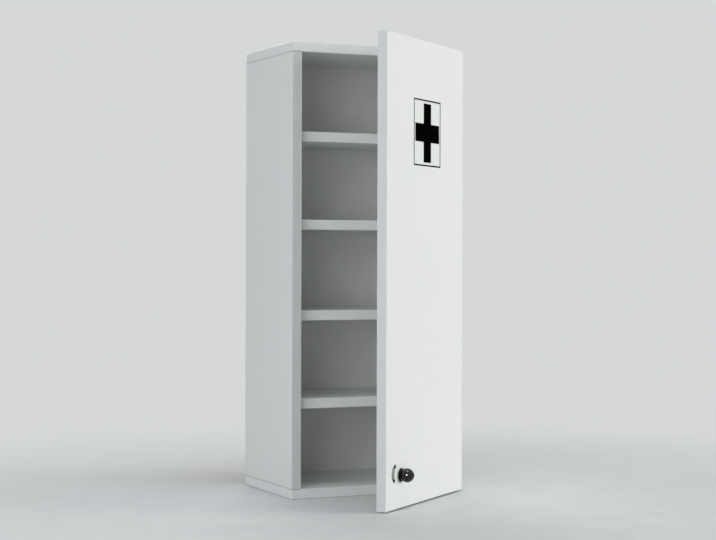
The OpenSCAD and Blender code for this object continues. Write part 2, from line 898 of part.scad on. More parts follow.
// Long strips on the door's vertical edges, short ones between them above and below.
module door_edging() {
    short_l = door_w - 2 * (edging + edging_joint);
    color(melamine) door_frame() translate([0, -door_gap, 0]) {
        for (side = ends)
            translate([side ? cabinet_w - side_reveal : side_reveal, side ? -board : 0, end_reveal])
                rotate([0, 0, side ? 90 : -90])
                    linear_extrude(door_h) edging_profile(board);
        for (end = ends)
            translate([side_reveal + edging + edging_joint, 0, end ? cabinet_h - end_reveal : end_reveal])
                rotate([90, 0, 90])
                    mirror([1, 0]) mirror([0, end])
                        linear_extrude(short_l) edging_profile(board);
    }
}

module door_bumpers() {
    color("gainsboro") door_frame() for (z = bumper_heights)
        translate([side_reveal + board / 2, -door_gap, z]) rotate([-90, 0, 0])
            cylinder(d1 = bumper_d, d2 = bumper_d - bumper_taper, h = door_gap - bumper_gap);
}

// ---- Lock ----

// Ring round the housing, let in for the housing's rim, with its outer edge broken.
module rosette() {
    seat_r = housing_d / 2 + housing_rim;
    seat_z = -rosette_t + housing_rim_t;
    color(black) lock_frame() rotate_extrude() polygon([
        [housing_d / 2, 0],
        [rosette_d / 2, 0],
        [rosette_d / 2, -rosette_t + rosette_edge],
        [rosette_d / 2 - rosette_edge, -rosette_t],
        [seat_r, -rosette_t],
        [seat_r, seat_z],
        [housing_d / 2, seat_z]
    ]);
}

module lock_housing() {
    color(zinc) lock_frame() difference() {
        union() {
            translate([0, 0, -rosette_t])
                cylinder(d = housing_d + 2 * housing_rim, h = housing_rim_t);
            translate([0, 0, -rosette_t + eps])
                cylinder(d = housing_d, h = housing_end + rosette_t - eps);
        }
        translate([0, 0, -rosette_t - 1])
            cylinder(r = spindle_d / 2 + lock_play, h = housing_end + rosette_t + 2);
    }
}

module lock_nut() {
    color(steel) lock_frame() translate([0, 0, board]) difference() {
        cylinder(d = nut_d, h = nut_t, $fn = 6);
        translate([0, 0, -1]) cylinder(d = housing_d, h = nut_t + 2);
    }
}

module knob() {
    color(black) lock_frame() difference() {
        intersection() {
            union() {
                translate([0, 0, -ball_at]) sphere(r = knob_r, $fn = 72);
                translate([0, 0, -ball_at]) cylinder(d = knob_neck_d, h = ball_at - knob_foot);
            }
            translate([0, 0, -knob_out]) cylinder(d = knob_d + 2, h = knob_out - knob_foot);
        }
        translate([0, 0, -knob_out - 1]) cylinder(r = plug_d / 2 + lock_play, h = plug_l + 1);
        translate([0, 0, -knob_out + plug_hole_l]) cylinder(d = spindle_d, h = knob_out);
    }
}

module spindle() {
    top = knob_out - plug_hole_l;
    color(zinc) lock_frame() difference() {
        union() {
            translate([0, 0, -top]) cylinder(d = spindle_d, h = top + cam_at);
            translate([-square_d / 2, -square_d / 2, cam_at - eps])
                cube([square_d, square_d, cam_t + eps]);
        }
        clip_groove();
        translate([0, 0, square_end - cam_screw_l]) cylinder(d = cam_screw_d, h = cam_screw_l + 1);
    }
}

// Groove just behind the housing, where the spring clip keeps the spindle in.
module clip_groove() {
    translate([0, 0, housing_end + clip_gap]) difference() {
        cylinder(d = spindle_d + 2, h = clip_t);
        translate([0, 0, -1]) cylinder(d = groove_d, h = clip_t + 2);
    }
}

// Open ring in the spindle's groove.
module spindle_clip() {
    mouth = groove_d - 2 * clip_t;
    color(steel) lock_frame() translate([0, 0, housing_end + clip_gap]) difference() {
        cylinder(d = spindle_d + 2 * clip_w, h = clip_t);
        translate([0, 0, -1]) cylinder(d = groove_d, h = clip_t + 2);
        translate([0, -mouth / 2, -1]) cube([spindle_d, mouth, clip_t + 2]);
    }
}

// Flat tongue with a rounded tip, upright while the door is free.
module cam() {
    color(steel) lock_frame() translate([0, 0, cam_at]) difference() {
        union() {
            cylinder(d = cam_w, h = cam_t);
            translate([-cam_w / 2, -cam_l + cam_tip_r, 0]) cube([cam_w, cam_l - cam_tip_r, cam_t]);
            translate([-cam_w / 2 + cam_tip_r, -cam_l, 0])
                cube([cam_w - 2 * cam_tip_r, 2 * cam_tip_r, cam_t]);
            for (way = ways)
                translate([way * (cam_w / 2 - cam_tip_r), -cam_l + cam_tip_r, 0])
                    cylinder(r = cam_tip_r, h = cam_t);
        }
        translate([-square_d / 2, -square_d / 2, -1]) cube([square_d, square_d, cam_t + 2]);
    }
}

module cam_screw() {
    color(steel) lock_frame() translate([0, 0, square_end])
        pan_screw(cam_screw_d, cam_screw_head, cam_screw_head_h, cam_screw_l);
}

module key_plug() {
    color(black) lock_frame() translate([0, 0, -knob_out]) difference() {
        cylinder(d = plug_d, h = plug_l);
        translate([-keyway_t / 2, -keyway_w / 2, -1]) cube([keyway_t, keyway_w, plug_l]);
    }
}

top_panel();
bottom_panel();
left_side();
right_side();
carcase_edging();
back_panel();
back_brads();
shelf_1();
shelf_2();
shelf_3();
shelf_4();
shelf_edging();
shelf_pins();
connecting_bolts();
cam_fittings();
fitting_caps();
wooden_dowels();
left_wall_bracket();
right_wall_bracket();
bracket_screws();
strike_plate();
strike_screws();
upper_mounting_plate();
lower_mounting_plate();
mounting_plate_screws();
upper_hinge_arm();
lower_hinge_arm();
arm_fixing_screws();
arm_adjusting_screws();
door_board();
door_edging();
upper_hinge_cup();
lower_hinge_cup();
upper_hinge_pin();
lower_hinge_pin();
cup_screws();
door_bumpers();
lock_housing();
lock_nut();
rosette();
knob();
spindle();
spindle_clip();
cam();
cam_screw();
key_plug();
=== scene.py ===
"""Looks of a lockable medicine cabinet for the wall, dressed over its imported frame.

Metres, in the frame's axes: +X to the right seen from the front, +Y into the wall, +Z up.
"""
import json
import math

import bmesh
import bpy
from mathutils import Matrix, Vector


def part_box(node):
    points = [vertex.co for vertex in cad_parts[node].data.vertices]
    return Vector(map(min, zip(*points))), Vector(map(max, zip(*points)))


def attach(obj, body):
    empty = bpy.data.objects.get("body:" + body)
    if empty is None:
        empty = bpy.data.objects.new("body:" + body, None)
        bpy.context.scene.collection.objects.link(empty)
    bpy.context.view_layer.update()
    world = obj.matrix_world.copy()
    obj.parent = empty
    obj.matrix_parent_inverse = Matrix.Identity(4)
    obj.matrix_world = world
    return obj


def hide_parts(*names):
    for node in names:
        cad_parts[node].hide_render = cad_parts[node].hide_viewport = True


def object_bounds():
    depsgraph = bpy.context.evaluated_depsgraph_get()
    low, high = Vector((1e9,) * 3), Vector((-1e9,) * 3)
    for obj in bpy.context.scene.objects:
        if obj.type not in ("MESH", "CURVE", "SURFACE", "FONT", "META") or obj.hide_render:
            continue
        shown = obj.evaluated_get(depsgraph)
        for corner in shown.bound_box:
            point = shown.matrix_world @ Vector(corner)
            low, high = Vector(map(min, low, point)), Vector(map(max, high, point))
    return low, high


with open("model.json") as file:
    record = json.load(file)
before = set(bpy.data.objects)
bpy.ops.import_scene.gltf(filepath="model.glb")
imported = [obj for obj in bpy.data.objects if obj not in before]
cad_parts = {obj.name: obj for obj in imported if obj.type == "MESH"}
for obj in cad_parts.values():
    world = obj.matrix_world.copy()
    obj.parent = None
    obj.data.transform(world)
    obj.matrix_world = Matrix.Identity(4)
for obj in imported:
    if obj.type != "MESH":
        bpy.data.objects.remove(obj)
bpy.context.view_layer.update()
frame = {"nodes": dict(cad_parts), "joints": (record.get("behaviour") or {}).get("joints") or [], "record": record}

MM = 0.001
RIGHT = Vector((1, 0, 0))
UP = Vector((0, 0, 1))
NODES = frame["nodes"]
JOINTS = {joint["name"]: joint for joint in frame["joints"]}
SLOTS = {part["node"]: part["material_slot"] for part in frame["record"]["subparts"]}

# ---- Places, read from the frame ----

# The open door: straight out of its face, from its free edge to its hinges, and a point on the lock's axis.
OUT = Vector(JOINTS["knob_turn"]["axis"]).normalized()
ALONG = UP.cross(OUT)
LOCK = Vector(JOINTS["knob_turn"]["pos_m"])


def reach(node, direction):
    """How far a node reaches along a direction from the frame's origin."""
    return max(vertex.co.dot(direction) for vertex in NODES[node].data.vertices)


def low_z(node):
    """The height of a node's foot."""
    return -reach(node, -UP)


def radius(node):
    """The greatest distance of a lock piece from the lock's axis."""
    from_lock = [vertex.co - LOCK for vertex in NODES[node].data.vertices]
    return max((away - OUT * OUT.dot(away)).length for away in from_lock)


DOOR_FACE = reach("door_edging", OUT)
FREE_EDGE = -reach("door_edging", -ALONG)
CABINET_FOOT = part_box("carcase_edging")[0].z
INNER_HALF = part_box("right_side")[0].x
SIDE_ENDS = [low_z("left_side"), reach("left_side", UP)]

# Points of a mesh that lie closer together than this are one point.
WELD = 0.001 * MM


def on_door(across, up):
    """A point on the door's face, in millimetres from its free edge and above the cabinet's foot."""
    return ALONG * (FREE_EDGE + across * MM) + OUT * DOOR_FACE + UP * (CABINET_FOOT + up * MM)


# ---- Materials ----


def colour(code):
    """The linear colour of an sRGB hex value."""
    channels = [int(code[k:k + 2], 16) / 255 for k in (1, 3, 5)]
    return [c / 12.92 if c <= 0.04045 else ((c + 0.055) / 1.055) ** 2.4 for c in channels] + [1]


def add(tree, kind, inputs=None, stops=(), **settings):
    """Adds a node with its settings. Inputs are values or sockets to link, and stops fill a colour ramp."""
    node = tree.nodes.new("ShaderNode" + kind)
    for name, value in settings.items():
        setattr(node, name, value)
    for key, value in (inputs or {}).items():
        if isinstance(value, bpy.types.NodeSocket):
            tree.links.new(value, node.inputs[key])
        else:
            node.inputs[key].default_value = value
    for k, (position, code) in enumerate(stops):
        # A new ramp has two elements already.
        elements = node.color_ramp.elements
        element = elements[k] if k < 2 else elements.new(position)
        element.position = position
        element.color = colour(code)
    return node


# The Mix node's sockets when it mixes colours: three inputs and the output.
FACTOR, FIRST, SECOND, MIXED = 0, 6, 7, 2


def per_mm(size):
    """The scale of a pattern whose grains or cells are that many millimetres across."""
    return 1 / (size * MM)


def start(name):
    """A new material: its tree, its shader and the object's own coordinates."""
    material = bpy.data.materials.new(name)
    material.use_nodes = True
    tree = material.node_tree
    return material, tree, tree.nodes["Principled BSDF"], add(tree, "TexCoord").outputs


def bumped(tree, shader, height, depth, strength):
    """Gives a shader a relief of that depth in millimetres."""
    bump = add(tree, "Bump", {"Height": height, "Distance": depth * MM, "Strength": strength})
    tree.links.new(bump.outputs["Normal"], shader.inputs["Normal"])


def roughened(tree, shader, pattern, smooth, rough):
    """Spreads a shader's roughness over a range by a pattern."""
    spread = add(tree, "MapRange", {"Value": pattern, "To Min": smooth, "To Max": rough})
    tree.links.new(spread.outputs["Result"], shader.inputs["Roughness"])


# How far a face may lean from an axis and still count as facing it, as the cosine of the angle.
FACE_ON = 0.7

# The line of shadow that a butt joint's groove shows, painted into the colour: its tone, and how wide it is.
JOINT_SHADOW_TONE = "#A7A8A6"
JOINT_SHADOW_W = 1.0 * MM


def shade_butt_joints(tree, place, surface):
    """Paints a thin line of shadow where the sides butt against top and bottom, over the sides' thickness only:
    there the scraped edges leave a fine groove that is half in shadow, and that shadow is painted into the colour."""
    height = add(tree, "SeparateXYZ", {"Vector": place["Object"]}).outputs
    lines = []
    for z in SIDE_ENDS:
        off = add(tree, "Math", {0: height["Z"], 1: z}, operation="SUBTRACT")
        off = add(tree, "Math", {0: off.outputs[0]}, operation="ABSOLUTE")
        near = add(tree, "Math", {0: off.outputs[0], 1: JOINT_SHADOW_W / 2}, operation="LESS_THAN")
        lines.append(near.outputs[0])
    line = add(tree, "Math", {0: lines[0], 1: lines[1]}, operation="MAXIMUM")
    outward = add(tree, "Math", {0: height["X"]}, operation="ABSOLUTE")
    outer = add(tree, "Math", {0: outward.outputs[0], 1: INNER_HALF}, operation="GREATER_THAN")
    # The groove's line, where painted shadow darkens the colour.
    groove = add(tree, "Math", {0: line.outputs[0], 1: outer.outputs[0]}, operation="MULTIPLY")
    return add(tree, "Mix", {FACTOR: groove.outputs[0], FIRST: surface, SECOND: colour(JOINT_SHADOW_TONE)},
               data_type="RGBA").outputs[MIXED]


def melamine_faced_chipboard(node, axis):
    """Melamine-faced chipboard, pressed and sawn: a satin pearl-grained white foil on both faces,
    and brown glued flakes wherever a cut or a bore goes through the foil."""
    material, tree, shader, place = start("melamine_faced_chipboard_" + node)
    high, low = reach(node, axis), -reach(node, -axis)
    foil_t = 0.3 * MM

    depth = add(tree, "VectorMath", {0: place["Object"], 1: axis}, operation="DOT_PRODUCT")
    from_middle = add(tree, "Math", {0: depth.outputs["Value"], 1: (high + low) / 2}, operation="SUBTRACT")
    from_middle = add(tree, "Math", {0: from_middle.outputs[0]}, operation="ABSOLUTE").outputs[0]
    facing = add(tree, "VectorMath", {0: place["Normal"], 1: axis}, operation="DOT_PRODUCT")
    facing = add(tree, "Math", {0: facing.outputs["Value"]}, operation="ABSOLUTE").outputs[0]
    near = add(tree, "Math", {0: from_middle, 1: (high - low) / 2 - foil_t}, operation="GREATER_THAN")
    flat = add(tree, "Math", {0: facing, 1: FACE_ON}, operation="GREATER_THAN")
    foil = add(tree, "Math", {0: near.outputs[0], 1: flat.outputs[0]}, operation="MULTIPLY").outputs[0]

    # Flakes 2.2 mm long, flattened in height, with fine fibre between them.
    flattened = add(tree, "Mapping", {"Vector": place["Object"], "Scale": [1, 1, 1.8]})
    flakes = add(tree, "TexVoronoi", {"Vector": flattened.outputs[0], "Scale": per_mm(2.2)})
    fibre = add(tree, "TexNoise", {"Vector": place["Object"], "Scale": per_mm(0.8), "Detail": 4})
    chips = add(tree, "Mix", {FACTOR: 0.45, FIRST: flakes.outputs["Color"], SECOND: fibre.outputs["Color"]},
                data_type="RGBA")
    core = add(tree, "ValToRGB", {"Fac": chips.outputs[MIXED]},
               stops=[(0.25, "#7A5A38"), (0.5, "#A98457"), (0.75, "#CDAE80")])

    # The foil's pearl grain is 0.3 mm on the board and is drawn at 1.1 mm, so that it shows at all.
    pearl = add(tree, "TexNoise", {"Vector": place["Object"], "Scale": per_mm(1.1), "Detail": 3})
    print_tone = add(tree, "TexNoise", {"Vector": place["Object"], "Scale": per_mm(70), "Detail": 2})
    white = add(tree, "ValToRGB", {"Fac": print_tone.outputs["Fac"]},
                stops=[(0.3, "#EBEDEB"), (0.7, "#EDEEED")])
    surface = add(tree, "Mix", {FACTOR: foil, FIRST: core.outputs[0], SECOND: white.outputs[0]},
                  data_type="RGBA").outputs[MIXED]
    # The sides get a painted shadow line at each butt joint.
    if node in ("left_side", "right_side"):
        surface = shade_butt_joints(tree, place, surface)
    tree.links.new(surface, shader.inputs["Base Color"])

    smooth = add(tree, "MapRange", {"Value": pearl.outputs["Fac"], "To Min": 0.34, "To Max": 0.44})
    roughness = add(tree, "Mix", {"Factor": foil, "A": 0.9, "B": smooth.outputs["Result"]})
    tree.links.new(roughness.outputs["Result"], shader.inputs["Roughness"])
    relief = add(tree, "Mix", {"Factor": foil, "A": fibre.outputs["Fac"], "B": pearl.outputs["Fac"]})
    bumped(tree, shader, relief.outputs["Result"], depth=0.03, strength=0.35)
    return material


# Painted shade on the edging of the sides' fronts: this tint multiplies the carcase's white there, so that those
# fronts read darker than the top's and bottom's.
UPRIGHT_SHADE_TINT = "#E8EAEA"


def abs_edging(name, dark, light, on_carcase=False):
    """ABS edging, extruded and scraped: near the board's white, a little glossier, with a fine mottle.
    On the carcase it has painted shadow lines at the joints of the boards behind it, and painted shade that
    darkens the sides' fronts."""
    material, tree, shader, place = start(name)
    tone = add(tree, "TexNoise", {"Vector": place["Object"], "Scale": per_mm(40), "Detail": 2})
    white = add(tree, "ValToRGB", {"Fac": tone.outputs["Fac"]}, stops=[(0.35, dark), (0.65, light)])
    surface = white.outputs[0]
    # On the carcase: painted shade on the uprights' front edging, and painted shadow lines at the joints.
    if on_carcase:
        height = add(tree, "SeparateXYZ", {"Vector": place["Object"]}).outputs["Z"]
        above = add(tree, "Math", {0: height, 1: SIDE_ENDS[0]}, operation="GREATER_THAN").outputs[0]
        below = add(tree, "Math", {0: height, 1: SIDE_ENDS[1]}, operation="LESS_THAN").outputs[0]
        shaded_upright = add(tree, "Math", {0: above, 1: below}, operation="MULTIPLY").outputs[0]
        surface = add(tree, "Mix", {FACTOR: shaded_upright, FIRST: surface, SECOND: colour(UPRIGHT_SHADE_TINT)},
                      data_type="RGBA", blend_type="MULTIPLY").outputs[MIXED]
        # Painted shadow lines at the butt joints, on the edging of the sides.
        surface = shade_butt_joints(tree, place, surface)
    tree.links.new(surface, shader.inputs["Base Color"])
    fine = add(tree, "TexNoise", {"Vector": place["Object"], "Scale": per_mm(0.9), "Detail": 3})
    roughened(tree, shader, fine.outputs["Fac"], smooth=0.3, rough=0.4)
    bumped(tree, shader, fine.outputs["Fac"], depth=0.02, strength=0.3)
    return material


def hardboard():
    """Hardboard, wet-pressed on a wire screen: lacquered white and flat inside, and at the rear
    bare brown fibre with the print of the screen."""
    material, tree, shader, place = start("screen_backed_hardboard")
    toward_wall = add(tree, "VectorMath", {0: place["Normal"], 1: (0, 1, 0)}, operation="DOT_PRODUCT")
    front = add(tree, "Math", {0: toward_wall.outputs["Value"], 1: -FACE_ON}, operation="LESS_THAN")
    lacquered = front.outputs[0]
    fibre = add(tree, "TexNoise", {"Vector": place["Object"], "Scale": per_mm(1.5), "Detail": 6,
                                   "Roughness": 0.65})
    blotches = add(tree, "TexNoise", {"Vector": place["Object"], "Scale": per_mm(45), "Detail": 3})
    mottle = add(tree, "Mix",
                 {FACTOR: 0.5, FIRST: fibre.outputs["Color"], SECOND: blotches.outputs["Color"]},
                 data_type="RGBA")
    bare = add(tree, "ValToRGB", {"Fac": mottle.outputs[MIXED]},
               stops=[(0.32, "#5E4128"), (0.5, "#7A5836"), (0.68, "#93714A")])
    coat = add(tree, "ValToRGB", {"Fac": blotches.outputs["Fac"]},
               stops=[(0.3, "#E3E4E1"), (0.7, "#E8E9E6")])
    surface = add(tree, "Mix", {FACTOR: lacquered, FIRST: bare.outputs[0], SECOND: coat.outputs[0]},
                  data_type="RGBA")
    tree.links.new(surface.outputs[MIXED], shader.inputs["Base Color"])

    # The screen's wires lie 1.3 mm apart and are drawn 19 mm apart, as a faint swell. A wave texture
    # turns through 20 radians in a unit of its scale.
    wires_apart = 18.85
    wave_turn = 20
    wave_scale = per_mm(wires_apart) * 2 * math.pi / wave_turn
    wires = [
        add(tree, "TexWave",
            {"Vector": place["Object"], "Scale": wave_scale, "Distortion": 1.5, "Detail": 1},
            bands_direction=across).outputs["Fac"]
        for across in ("X", "Z")
    ]
    screen = add(tree, "Math", {0: wires[0], 1: wires[1]}, operation="MULTIPLY").outputs[0]
    relief = add(tree, "Mix", {"Factor": lacquered, "A": screen, "B": fibre.outputs["Fac"]})
    bumped(tree, shader, relief.outputs["Result"], depth=0.12, strength=0.5)
    roughness = add(tree, "Mix", {"Factor": lacquered, "A": 0.85, "B": 0.5})
    tree.links.new(roughness.outputs["Result"], shader.inputs["Roughness"])
    return material


def nickel_plated_steel():
    """Mild steel, pressed and nickel-plated: warm silver, satin from the tumbling barrel."""
    material, tree, shader, place = start("nickel_plated_steel")
    shader.inputs["Metallic"].default_value = 1
    haze = add(tree, "TexNoise", {"Vector": place["Object"], "Scale": per_mm(9), "Detail": 4})
    plating = add(tree, "ValToRGB", {"Fac": haze.outputs["Fac"]},
                  stops=[(0.3, "#B4B1AA"), (0.7, "#C9C7C1")])
    tree.links.new(plating.outputs[0], shader.inputs["Base Color"])
    tumbled = add(tree, "TexNoise", {"Vector": place["Object"], "Scale": per_mm(0.5), "Detail": 3})
    roughened(tree, shader, tumbled.outputs["Fac"], smooth=0.2, rough=0.38)
    bumped(tree, shader, tumbled.outputs["Fac"], depth=0.01, strength=0.4)
    return material


def zinc_casting(name, dark, light):
    """Zinc alloy, die-cast: a dull skin with a fine orange peel."""
    material, tree, shader, place = start(name)
    shader.inputs["Metallic"].default_value = 1
    skin = add(tree, "TexNoise", {"Vector": place["Object"], "Scale": per_mm(2.5), "Detail": 5})
    tone = add(tree, "ValToRGB", {"Fac": skin.outputs["Fac"]}, stops=[(0.3, dark), (0.7, light)])
    tree.links.new(tone.outputs[0], shader.inputs["Base Color"])
    roughened(tree, shader, skin.outputs["Fac"], smooth=0.34, rough=0.5)
    bumped(tree, shader, skin.outputs["Fac"], depth=0.02, strength=0.5)
    return material


def moulded_plastic(name, dark, light, smooth, rough, grain_mm, relief_mm):
    """A thermoplastic from a polished or spark-eroded mould: one colour, with the mould's grain in its
    gloss. The grain's width and the relief's depth are in millimetres."""
    material, tree, shader, place = start(name)
    flow = add(tree, "TexNoise", {"Vector": place["Object"], "Scale": per_mm(14), "Detail": 2})
    tone = add(tree, "ValToRGB", {"Fac": flow.outputs["Fac"]}, stops=[(0.35, dark), (0.65, light)])
    tree.links.new(tone.outputs[0], shader.inputs["Base Color"])
    grain = add(tree, "TexNoise", {"Vector": place["Object"], "Scale": per_mm(grain_mm), "Detail": 3})
    roughened(tree, shader, grain.outputs["Fac"], smooth=smooth, rough=rough)
    bumped(tree, shader, grain.outputs["Fac"], depth=relief_mm, strength=0.4)
    return material


def with_level(material, socket, level):
    """Sets one level of a material's shader and gives the material back."""
    material.node_tree.nodes["Principled BSDF"].inputs[socket].default_value = level
    return material


def dull(material, mirror_share):
    """Weakens what a material mirrors, as matting agents do: 0.5 is the usual share and 0 is none."""
    return with_level(material, "Specular IOR Level", mirror_share)


def beech():
    """Beech, turned into dowels: pale pinkish tan with short dark flecks."""
    material, tree, shader, place = start("turned_beech")
    drawn_out = add(tree, "Mapping", {"Vector": place["Object"], "Scale": [1, 1, 0.12]})
    flecks = add(tree, "TexNoise", {"Vector": drawn_out.outputs[0], "Scale": per_mm(0.9), "Detail": 5})
    wood = add(tree, "ValToRGB", {"Fac": flecks.outputs["Fac"]},
               stops=[(0.3, "#B98A5E"), (0.5, "#D2A679"), (0.7, "#DDB78D")])
    tree.links.new(wood.outputs[0], shader.inputs["Base Color"])
    roughened(tree, shader, flecks.outputs["Fac"], smooth=0.5, rough=0.65)
    bumped(tree, shader, flecks.outputs["Fac"], depth=0.03, strength=0.4)
    return material


# The boards, each with the direction across its thickness.
BOARDS = {
    "top_panel": UP, "bottom_panel": UP, "left_side": RIGHT, "right_side": RIGHT,
    "shelf_1": UP, "shelf_2": UP, "shelf_3": UP, "shelf_4": UP, "door_board": OUT,
}
BLACK_ABS = moulded_plastic("polished_black_abs", "#0B0B0D", "#101013", 0.07, 0.11, 3, 0.01)
FINISHES = {
    "white_edging": abs_edging("extruded_abs_edging", "#E9EBE9", "#EBEDEB"),
    "hardboard": hardboard(),
    "nickel_steel": nickel_plated_steel(),
    "zinc_casting": zinc_casting("bright_zinc_casting", "#8E9194", "#A9ABAD"),
    "black_zinc": zinc_casting("black_plated_zinc_casting", "#1B1B1E", "#2A2A2D"),
    "white_cap": moulded_plastic("moulded_white_polyethylene", "#E4E6E4", "#EAEBE9", 0.42, 0.55, 0.8, 0.02),
    "beech_dowel": beech(),
    "black_plastic": BLACK_ABS,
    "clear_bumper": with_level(
        moulded_plastic("cast_clear_polyurethane", "#D9DBD8", "#E3E4E1", 0.16, 0.26, 1.2, 0.02),
        "Transmission Weight", 0.5),
}


def dress(piece, material):
    """Gives a piece one material in place of what it has."""
    piece.data.materials.clear()
    piece.data.materials.append(material)


for node, piece in NODES.items():
    if node in BOARDS:
        dress(piece, melamine_faced_chipboard(node, BOARDS[node]))
    else:
        dress(piece, FINISHES[SLOTS[node]])

# The carcase's edging is a touch whiter than the shelves', and the door's a touch greyer.
# The carcase's edging also carries painted shade on the sides' fronts and painted shadow lines at the joints.
dress(NODES["carcase_edging"],
      abs_edging("extruded_abs_edging_of_the_carcase", "#EBEDEC", "#EDEFEE", on_carcase=True))
dress(NODES["door_edging"], abs_edging("extruded_abs_edging_of_the_door", "#E3E5E4", "#E5E7E6"))

# ---- Pieces made here ----


def new_piece(name, mesh, material, body):
    """Turns a bmesh in the row's frame into a piece that rides on a body."""
    bmesh.ops.recalc_face_normals(mesh, faces=mesh.faces)
    data = bpy.data.meshes.new(name)
    mesh.to_mesh(data)
    mesh.free()
    piece = bpy.data.objects.new(name, data)
    bpy.context.scene.collection.objects.link(piece)
    dress(piece, material)
    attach(piece, body)
    return piece


def arc(centre, r, first, last, steps):
    """Points along an arc in a plane, its angles in degrees."""
    turns = [math.radians(first + (last - first) * k / steps) for k in range(steps + 1)]
    return [(centre[0] + r * math.cos(t), centre[1] + r * math.sin(t)) for t in turns]


def turned(name, profile, origin, axis, material, body, sides=96):
    """A turned piece from a closed profile of (radius, height along the axis) in millimetres."""
    frame_of_axis = Matrix.Translation(origin) @ axis.to_track_quat("Z", "Y").to_matrix().to_4x4()
    mesh = bmesh.new()
    rings = []
    for k in range(sides):
        angle = 2 * math.pi * k / sides
        rings.append([
            mesh.verts.new(frame_of_axis @ (Vector((r * math.cos(angle), r * math.sin(angle), h)) * MM))
            for r, h in profile
        ])
    for k in range(sides):
        for i in range(len(profile)):
            j = (i + 1) % len(profile)
            on_axis = not profile[i][0] and not profile[j][0]
            if not on_axis:
                mesh.faces.new([rings[k][i], rings[k][j], rings[k - 1][j], rings[k - 1][i]])
    bmesh.ops.remove_doubles(mesh, verts=mesh.verts, dist=WELD)
    piece = new_piece(name, mesh, material, body)
    piece.data.shade_smooth()
    return piece


# The knob: a ball cut flat at its end, with broken edges, on a waisted foot. It has a well for the key
# plug and a bore for the spindle. Sizes are in millimetres, and heights are above the door's face.
axis_foot = LOCK + OUT * (DOOR_FACE - LOCK.dot(OUT))
knob_r = radius("knob") / MM
knob_end = (reach("knob", OUT) - DOOR_FACE) / MM
knob_foot = (-reach("knob", -OUT) - DOOR_FACE) / MM
plug_gap = 0.05
snug_gap = 0.02
well_r = radius("key_plug") / MM + plug_gap
well_floor = (-reach("key_plug", -OUT) - DOOR_FACE) / MM - plug_gap
bore_r = radius("spindle") / MM + snug_gap
flat_rise = 0.9 * knob_r
ball_at = knob_end - flat_rise
flat_r = math.sqrt(knob_r ** 2 - flat_rise ** 2)
waist_r = 0.72 * knob_r
foot_round = 0.6
# The edge between ball and flat is broken, from lip to lip_rest outside their corner. The flat is
# dished a little towards the well.
lip = 0.35
lip_rest = 0.1
dish = 0.05
end_angle = math.degrees(math.acos((flat_r + lip) / knob_r))
waist_angle = -math.degrees(math.acos(waist_r / knob_r))
knob_profile = (
    arc((0, ball_at), knob_r, waist_angle, end_angle, steps=40)
    + [(flat_r + lip_rest, knob_end), (well_r, knob_end - dish), (well_r, well_floor)]
    + [(bore_r, well_floor), (bore_r, knob_foot)]
    + arc((waist_r - foot_round, knob_foot + foot_round), foot_round, -90, 0, steps=6)
)
knob = turned("turn_knob", knob_profile, axis_foot, OUT, BLACK_ABS, "knob")
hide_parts("knob")

# The rosette: a flat ring with a rounded shoulder and a shallow groove round the knob's foot.
rosette_r = radius("rosette") / MM
rosette_t = (reach("rosette", OUT) - DOOR_FACE) / MM
housing_r = radius("lock_housing") / MM
shoulder = 0.7
groove_depth = 0.2
groove_foot_w, groove_top_w = 0.3, 0.5
rosette_profile = (
    [(housing_r + snug_gap, snug_gap), (rosette_r, snug_gap)]
    + arc((rosette_r - shoulder, rosette_t - shoulder), shoulder, 0, 90, steps=8)
    + [(housing_r + groove_top_w, rosette_t), (housing_r + groove_foot_w, rosette_t - groove_depth)]
    + [(housing_r + snug_gap, rosette_t - groove_depth)]
)
black_nylon = moulded_plastic("spark_eroded_black_nylon", "#060607", "#0A0A0B", 0.3, 0.42, 0.6, 0.01)
dull(black_nylon, 0.1)
rosette = turned("lock_rosette", rosette_profile, axis_foot, OUT, black_nylon, "door")
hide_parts("rosette")

# The bumpers: a soft dome behind each corner of the free edge, as wide and as high as the CAD's.
bumper_r = (reach("door_bumpers", ALONG) + reach("door_bumpers", -ALONG)) / 2 / MM
bumper_h = (reach("door_bumpers", -OUT) - reach("door_board", -OUT)) / MM
bumper_bend = (bumper_r ** 2 + bumper_h ** 2) / (2 * bumper_h)
bumper_rise = 90 - math.degrees(math.asin(bumper_r / bumper_bend))
dome = arc((0, bumper_h - bumper_bend), bumper_bend, bumper_rise, 90, steps=12)
# The top of the dome lies on the axis itself.
dome[-1] = (0, bumper_h)
bumper_at = ALONG * (reach("door_bumpers", ALONG) - bumper_r * MM) - OUT * reach("door_board", -OUT)
bumper_heights = {
    "upper_bumper": reach("door_bumpers", UP) - bumper_r * MM,
    "lower_bumper": low_z("door_bumpers") + bumper_r * MM,
}
for name, z in bumper_heights.items():
    bumper = turned(name, [(0, 0)] + dome, bumper_at + UP * z, -OUT, FINISHES["clear_bumper"],
                    "door", sides=32)
    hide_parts("door_bumpers")


# How thick the films on the door are, in millimetres.
FILM_T = 0.1


def film(name, cells, material):
    """A thin film on the door's face, from cells of (across, up) corners in millimetres."""
    mesh = bmesh.new()
    for cell in cells:
        mesh.faces.new([mesh.verts.new(on_door(*corner)) for corner in cell])
    bmesh.ops.remove_doubles(mesh, verts=mesh.verts, dist=WELD)
    piece = new_piece(name, mesh, material, "door")
    thick = piece.modifiers.new("film", "SOLIDIFY")
    thick.thickness = FILM_T * MM
    thick.offset = 1


def printed_film(name, dark, light):
    """Cast vinyl film, cut or screen-printed: an even matt colour with a trace of the board's grain."""
    return dull(moulded_plastic(name, dark, light, 0.5, 0.6, 1.1, 0.02), 0)


BLACK_FILM = printed_film("cut_black_vinyl_film", "#040404", "#070707")

